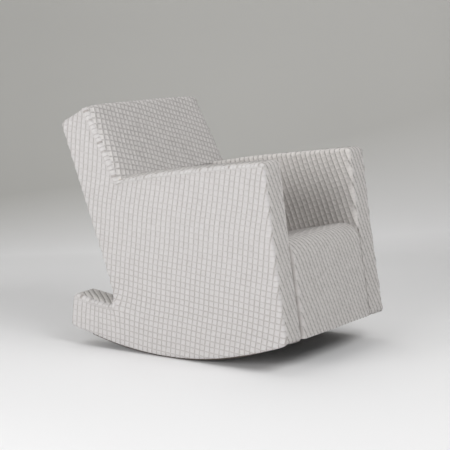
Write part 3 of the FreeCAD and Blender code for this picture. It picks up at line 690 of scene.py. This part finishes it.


# %% [markdown]
# ## Quilted cloth
# A matt, light and slightly warm grey. The threads that pull the ribs in are browner, and the
# shade that falls into the grooves is painted into their colour as well, so the grooves look
# darker than their depth alone would make them. The cells differ a little from each other, and a
# fine weave of about a millimetre gives the cloth its tooth. Some covers have darker rows low
# down, and painted shade darkens the groove beside the seat's front. The four cloths are lit and
# shaded copies of one cloth, each with its own painted tone and groove shade for the way its
# covers face the lamps.

# %% Cloth material
# where painted shade darkens the groove between the seat's front and the arms, its width and
# strength
SEAT_SEAM, SEAM_SHADE_WIDTH, SEAM_SHADE = 0.238, 0.004, 0.8
ROW_GAP = 0.55  # share of a rib's shade that is lost where a row crosses it
TONE, MOTTLE, FINE = 0.10, 0.55, 0.35  # how much cells, patches and threads differ in shade
THREADS = math.tau * 14  # fourteen threads to a cell
WEAVE_DEPTH, WEAVE_STRENGTH, FUZZ = 0.0006, 0.6, 1.2


def below(value, limit, steepness):
    """0 above the limit, 1 well below it, and a straight line in between."""
    return ((limit - value) * steepness).clamped()


def line_shade(cells, narrow):
    """A dark line at every whole number of cells, as a bell curve."""
    off_line = ((cells + 0.5).fraction() - 0.5).absolute()
    return (off_line * off_line * -narrow).exp()


def quilted_cloth(name, light, groove, rib_dark, row_dark, lower, narrow):
    """light is the cells' colour and groove the colour of the browner threads with the grooves'
    painted shade, both set per copy as painted light and shade. rib_dark and row_dark are the
    painted shade of the two kinds of groove, lower the shade added to rows low down, and narrow
    says how thin the dark lines are."""
    graph = Graph(name)
    across, depth, height = graph.split(graph.place())
    low = below(height, 0.42, 4.5) * below(depth, 0.38, 8.0)
    # painted shade in the groove beside the seat's front, a bell curve across x, low and at the
    # front only
    off_seam = (across.absolute() - SEAT_SEAM) / SEAM_SHADE_WIDTH
    seam = (off_seam * off_seam * -1.0).exp()
    seam = seam * below(height, 0.43, 20.0) * below(depth, -0.30, 20.0)
    cloth = graph.node("ShaderNodeUVMap", {"uv_map": "Cloth"}).outputs[0]
    rib, row, _ = graph.split(cloth)
    rib_groove, row_groove = line_shade(rib, narrow), line_shade(row, narrow)
    cell = graph.node("ShaderNodeCombineXYZ", {}, rib.floor(), row.floor(), 0.0).outputs[0]
    dice = graph.node("ShaderNodeTexWhiteNoise", {"noise_dimensions": "2D"}, cell)
    mottle, fine = graph.noise(cloth, 2.6, 3.0), graph.noise(cloth, 9.0, 2.0)
    # groove lines in thread colour with painted shade, darker rows low down, painted seam shade,
    # random tone
    shade = (
        rib_groove * (1.0 - row_groove * ROW_GAP) * rib_dark
        + row_groove * (1.0 - rib_groove) * (low * lower + row_dark)
        + seam * SEAM_SHADE
        + (graph.value(dice.outputs[0]) - 0.5) * TONE
        + (mottle - 0.5) * MOTTLE
        + (fine - 0.5) * FINE
    ).clamped()
    colour = graph.mix(shade, (*light, 1), (*groove, 1))
    weave = (rib * THREADS).sin() * (row * THREADS).sin() + fine * FUZZ
    graph.bump(weave, WEAVE_DEPTH, WEAVE_STRENGTH)
    return graph.finish(Base_Color=colour, Roughness=0.95, Sheen_Weight=0.15, Sheen_Roughness=0.6)


# Lit and shaded copies of one cloth: tones and groove shade are painted for how each cover faces
# the lamps
SIDE_CLOTH = quilted_cloth(
    "cloth_side", (0.655, 0.636, 0.630), (0.315, 0.280, 0.260), 0.72, 0.26, 0.29, 110.0
)
FRONT_CLOTH = quilted_cloth(
    "cloth_front", (0.670, 0.646, 0.630), (0.165, 0.146, 0.134), 0.76, 0.18, 0.0, 60.0
)
BACK_CLOTH = quilted_cloth(
    "cloth_back", (0.720, 0.696, 0.684), (0.165, 0.146, 0.134), 0.60, 0.52, 0.0, 60.0
)
INNER_CLOTH = quilted_cloth(
    "cloth_inner", (0.730, 0.702, 0.680), (0.200, 0.180, 0.166), 0.72, 0.18, 0.0, 80.0
)
print("cloths:", SIDE_CLOTH.name, FRONT_CLOTH.name, BACK_CLOTH.name, INNER_CLOTH.name)


def dress(obj, material, nodes):
    """Give a soft cover its material, hang it on the root body, and hide the model's pieces it
    replaces.
    """
    obj.data.materials.append(material)
    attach(obj, "root")
    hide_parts(*nodes)


# %% [markdown]
# ## Covers of the two slabs
# On each side there is an outer face, an inner face, a band over the arm and down its front, and
# a band under the rocker and round the heel. Where a face meets a band, a narrow lip of the face
# goes down into the seam.

# %% Faces
SIDES = ((-1, "right"), (1, "left"))
SIDE_SLANT, ARM_SLANT = -6.0, 22.0
MIDDLE = np.array([-0.05, 0.35])  # a place well inside the outline
LIP_LEAN = 0.0012

corners = [HEEL_FOOT, HEEL_TOP, NOTCH, REAR_TOP, BACK_TOP, CREASE, ARM_FRONT, TOE]
arc_back = arc_edge(np.linspace(1, 0, 40), HEEL_FOOT[0], TOE[0])
whole_outline = eased(path(np.concatenate([corners, arc_back])))


def inward(points):
    """Normals that point into the outline, whichever way the path runs."""
    normal = outward(points)
    sample = len(points) // 2
    return normal if normal[sample] @ (MIDDLE - points[sample]) > 0 else -normal


def lip(points, side, slant):
    """A narrow strip from the edge of an outer face down into its seam."""
    rim, foot = side * (HALF_WIDTH - EDGE), side * (HALF_WIDTH - (EDGE + LIP_LEAN))
    inside = points + SEAM_DEPTH * inward(points)
    spots = np.stack([in_space(rim, points), in_space(foot, inside)])
    return spots, on_cloth(spots[..., 1], spots[..., 2], slant)


for side, word in SIDES:
    patches = (body_patch, back_patch, rocker_patch)
    grids = [(*slab_face(patch, side, 1, SIDE_SLANT), side > 0) for patch in patches]
    grids.append((*lip(whole_outline, side, SIDE_SLANT), 0.0, 0.0, side > 0))
    nodes = [kind + word for kind in ("outside_cover_", "outer_foam_", "edge_foam_")]
    dress(cover("outer_face_" + word, grids), SIDE_CLOTH, nodes)

    patches = (body_patch[:, : len(front_part)], rocker_patch)
    grids = [(*slab_face(patch, side, -1, ARM_SLANT), side < 0) for patch in patches]
    nodes = [kind + word for kind in ("inside_arm_cover_", "heel_cover_", "inner_foam_")]
    dress(cover("inner_face_" + word, grids), INNER_CLOTH, nodes)

# %% Bands of the slabs
FRONT_SLANT, ROCKER_SLANT = -22.0, -39.0
OUTER_RIM, INNER_RIM = HALF_WIDTH - EDGE, HALF_WIDTH - SLAB + EDGE
REAR_RUN = 0.056  # how far the rocker's band goes up the rear edge
UNDER_BACK, UNDER_TOE = 0.02, 0.001

under_back = CREASE + UNDER_BACK * heading(-ARM_FALL)
arm_path = eased(path([TOE + UNDER_TOE * TOE_WAY, TOE, ARM_FRONT, CREASE, under_back]))
arc_forward = arc_edge(np.linspace(0, 1, 60), TOE[0], HEEL_FOOT[0])
notch_up = NOTCH + REAR_RUN * heading(90 - REAR_LEAN)
rocker_path = eased(path(np.concatenate([arc_forward, [HEEL_TOP, NOTCH, notch_up]])))
for side, word in SIDES:
    borders = sorted((side * OUTER_RIM, side * INNER_RIM))
    sewn = (side < 0, side > 0)  # a band is sewn to the outer face and smooth at the inner one
    band = strip(arm_path, *borders, FRONT_SLANT, crown=0.0015, seams=sewn, ends=NONE)
    dress(cover("front_band_" + word, [(*band, True)]), FRONT_CLOTH, ["arm_band_" + word])
    band = strip(rocker_path, *borders, ROCKER_SLANT, seams=sewn, ends=(False, True))
    dress(cover("rocker_band_" + word, [(*band, True)]), INNER_CLOTH, ["base_band_" + word])

# %% [markdown]
# ## Back
# One cover runs from the seat up the front of the back and over its top. It is as wide as the
# chair above the arms and dives between them below. A second cover closes the outside. Low down it
# narrows to end between the two rocker bands, which come round from the heels.

# %% Back covers
BACK_SLANT, BACK_CROWN = 15.3, 0.004
BETWEEN = HALF_WIDTH - SLAB - 0.0004  # half the width between the slabs, with a little air
BACK_RUN, REAR_SEAM_DROP, ARM_OVERLAP = 0.60, 0.026, 0.006

back_foot = BACK_TOP - heading(90 - BACK_LEAN) * BACK_RUN
rear_seam = REAR_TOP - heading(90 - REAR_LEAN) * REAR_SEAM_DROP
back_path = eased(path([back_foot, BACK_TOP, REAR_TOP, rear_seam]))
arm_level = ARM_FRONT[1] - np.tan(np.radians(ARM_FALL)) * (back_path[:, 0] - ARM_FRONT[0])
back_half = np.where(back_path[:, 1] < arm_level - ARM_OVERLAP, BETWEEN, OUTER_RIM)
back_front = strip(
    back_path, -back_half, back_half, BACK_SLANT, crown=BACK_CROWN, seams=NONE, ends=(False, True)
)
dress(cover("back_front", [(*back_front, True)]), BACK_CLOTH, ["inside_back_cover", "back_foam"])

rear_foot = NOTCH - heading(90 - REAR_LEAN) * 0.002
rear_path = eased(path([rear_seam, rear_foot]))
above_notch = np.linalg.norm(rear_path - NOTCH, axis=1)
rear_half = np.where(above_notch > REAR_RUN, OUTER_RIM, INNER_RIM)
back_rear = strip(rear_path, -rear_half, rear_half, 0.0, crown=BACK_CROWN, ends=(True, False))
dress(cover("back_rear", [(*back_rear, True)]), SIDE_CLOTH, ["outside_back_cover", "rear_foam"])

# %% [markdown]
# ## Seat
# The seat cover comes up the front, rolls over the thick foam and runs back under the back
# cushion. Its long borders pull down beside the arms.

# %% Seat cover
SEAT_SLANT, SEAT_RAKE, SEAT_ROLL, SEAT_LEVEL = -23.0, 13.0, 0.075, 0.440
PROUD = 0.008  # how far the seat's front stands out past the slabs' fronts
SEAT_PRESS = 0.002  # how far the seat presses into each slab
SEAT_ROUNDS = (0.006, 0.013)

front_drop = (ARM_FRONT[1] - SEAT_LEVEL) * math.tan(math.radians(FRONT_LEAN))
seat_start = np.array([ARM_FRONT[0] - front_drop, SEAT_LEVEL])
panel_point = ARM_FRONT - PROUD * heading(-FRONT_LEAN)
panel_top = crossing(panel_point, heading(90 - FRONT_LEAN), seat_start, heading(-SEAT_RAKE))
panel_foot = crossing(panel_point, heading(90 - FRONT_LEAN), NOTCH, heading(BASE_RISE))
seat_end = crossing(BACK_TOP, heading(90 - BACK_LEAN), seat_start, heading(-SEAT_RAKE))
seat_rear = seat_end + UNDER_BACK * heading(-SEAT_RAKE)
seat_path = path([panel_foot, panel_top, seat_rear])
seat_path = ease(seat_path, panel_top, panel_foot, seat_rear, SEAT_ROLL)
seat_half = BETWEEN + SEAT_PRESS
seat = strip(
    seat_path, -seat_half, seat_half, SEAT_SLANT, crown=0.003, rounds=SEAT_ROUNDS, ends=NONE
)
dress(cover("seat", [(*seat, True)]), FRONT_CLOTH, ["seat_cover", "seat_foam", "front_foam"])

# %% [markdown]
# ## Frame inside, and the pieces underneath
# The timbers, boards, webbing and bolts keep their model shapes. They only get their own finish:
# grained timber, plies, dark cloth, rubber and zinc-plated steel.

# %% Materials of the carried-over pieces
def plain(name, first, second, scale, roughness, bump, stretch=(1, 1, 1), metallic=0.0):
    """Two tones mixed by stretched noise in the piece's own coordinates, with a little bump."""
    graph = Graph(name)
    mapping = graph.node("ShaderNodeMapping", {}, Vector=graph.place(), Scale=stretch)
    grain = graph.noise(mapping.outputs[0], scale, 4.0)
    graph.bump(grain, bump)
    colour = graph.mix(grain, (*first, 1), (*second, 1))
    return graph.finish(Base_Color=colour, Roughness=roughness, Metallic=metallic)


FINE_IN_Y, FINE_IN_X = (1, 8, 1), (6, 1, 1)  # grain is finer that way
FINISHES = {
    # two tones, scale of the noise, roughness, depth of the bump
    "timber": plain("beech", (0.55, 0.36, 0.19), (0.70, 0.50, 0.30), 30, 0.6, 0.0004, FINE_IN_Y),
    "plywood": plain(
        "birch_ply", (0.62, 0.45, 0.27), (0.76, 0.60, 0.40), 25, 0.6, 0.0003, FINE_IN_X
    ),
    "hardboard": plain("hardboard", (0.16, 0.09, 0.05), (0.24, 0.15, 0.09), 300, 0.7, 0.0001),
    "webbing": plain("webbing", (0.010, 0.010, 0.011), (0.045, 0.044, 0.042), 700, 0.9, 0.0003),
    "underside_cloth": plain(
        "black_cloth", (0.006, 0.006, 0.006), (0.030, 0.029, 0.028), 500, 0.95, 0.0003
    ),
    "wear_strip": plain(
        "dark_rubber", (0.020, 0.013, 0.009), (0.075, 0.052, 0.038), 160, 0.8, 0.0005
    ),
    "steel": plain(
        "zinc", (0.45, 0.45, 0.46), (0.62, 0.62, 0.63), 400, 0.35, 0.00005, metallic=1.0
    ),
    "quilted_fabric": SIDE_CLOTH,
    "foam": plain("foam", (0.70, 0.62, 0.42), (0.80, 0.74, 0.55), 500, 0.95, 0.0004),
}
for part in frame["record"]["subparts"]:
    materials = frame["nodes"][part["node"]].data.materials
    finish = FINISHES[part["material_slot"]]
    for place in range(len(materials)):
        materials[place] = finish
    if len(materials) == 0:
        materials.append(finish)

# %% [markdown]
# ## Studio
# A pale paper sweep: a floor that curves up into a wall well behind the chair. Towards the wall
# the paper turns darker, and stays lighter towards the chair's left, as painted shade for the
# light that falls off there. One wide soft lamp stands low on the chair's right, so that its near
# side shades the inside of the far arm. A second hangs overhead and a little behind, and a third,
# high in front, fills the front.

# %% Sweep
AWAY = -Vector((to_camera.x, to_camera.y, 0)).normalized()
ACROSS = Vector((AWAY.y, -AWAY.x, 0))
REACH, BEND_START, BEND_RADIUS, WALL_TOP = 9.0, 1.75, 1.1, 6.0
# where the wall's painted shade starts, how it slants across, and over what length it deepens
DARKENING_START, DARKENING_SLANT, DARKENING_LENGTH = 1.98, 0.15, 0.60
PAPER = (0.87, 0.87, 0.875, 1)
WALL_LEFT, WALL_RIGHT = (0.445, 0.441, 0.422, 1), (0.510, 0.505, 0.485, 1)

bend = np.radians(np.linspace(0, 90, 24))
curve = BEND_RADIUS * np.stack([np.sin(bend), 1 - np.cos(bend)], axis=-1) + [BEND_START, 0]
wall_foot = BEND_START + BEND_RADIUS
sweep = np.concatenate([[[-REACH, 0.0]], curve, [[wall_foot, WALL_TOP]]])

sweep_graph = Graph("paper")
sweep_place = sweep_graph.place()


def along(way):
    """Distance along a direction, as a number for the shader."""
    made = sweep_graph.node(
        "ShaderNodeVectorMath", {"operation": "DOT_PRODUCT"}, sweep_place, tuple(way)
    )
    return sweep_graph.value(made.outputs["Value"])


distance, sideways = along(AWAY), along(ACROSS)
# painted shade: the paper darkens towards the wall, and the wall is lighter towards the chair's
# left
darkening = (distance - DARKENING_START - sideways * DARKENING_SLANT) / DARKENING_LENGTH
wall_colour = sweep_graph.mix(sideways * 0.5 + 0.5, WALL_LEFT, WALL_RIGHT)
paper_colour = sweep_graph.mix(darkening.clamped(), PAPER, wall_colour)
sweep_graph.finish(Base_Color=paper_colour, Roughness=0.9)

sweep_points = [
    tuple(AWAY * away + ACROSS * across + Vector((0, 0, height)))
    for away, height in sweep.tolist()
    for across in (-REACH, REACH)
]
sweep_mesh = bpy.data.meshes.new("sweep")
sweep_mesh.from_pydata(sweep_points, [], grid_faces(len(sweep), 2, False).tolist())
sweep_mesh.polygons.foreach_set("use_smooth", np.ones(len(sweep) - 1, dtype=bool))
sweep_mesh.materials.append(sweep_graph.material)
floor = bpy.data.objects.new("sweep", sweep_mesh)
bpy.context.scene.collection.objects.link(floor)
print("sweep:", len(sweep_points), "points")


# %% Lights
LAMP_AIM = Vector((0, 0, 0.4))
SKY_COLOUR, SKY_STRENGTH = (1.0, 0.99, 0.98, 1), 0.275


def lamp(name, place, size, power):
    """A white rectangular area lamp at a place, aimed at the middle of the chair."""
    data = bpy.data.lights.new(name, "AREA")
    data.shape, data.energy = "RECTANGLE", power
    data.size, data.size_y = size
    obj = bpy.data.objects.new(name, data)
    obj.location = place
    obj.rotation_mode = "QUATERNION"
    obj.rotation_quaternion = (LAMP_AIM - Vector(place)).to_track_quat("-Z", "Y")
    bpy.context.scene.collection.objects.link(obj)


lamp("key", (-4.1, 0.4, 1.25), (3.0, 1.6), 103)
lamp("top", (0.4, 1.3, 3.6), (3.0, 3.0), 32)
lamp("front", (-0.7, -2.9, 3.0), (2.6, 1.6), 70)
world = bpy.data.worlds.new("sky")
world.use_nodes = True
sky = next(n for n in world.node_tree.nodes if n.type == "BACKGROUND")
sky.inputs["Color"].default_value = SKY_COLOUR
sky.inputs["Strength"].default_value = SKY_STRENGTH
bpy.context.scene.world = world
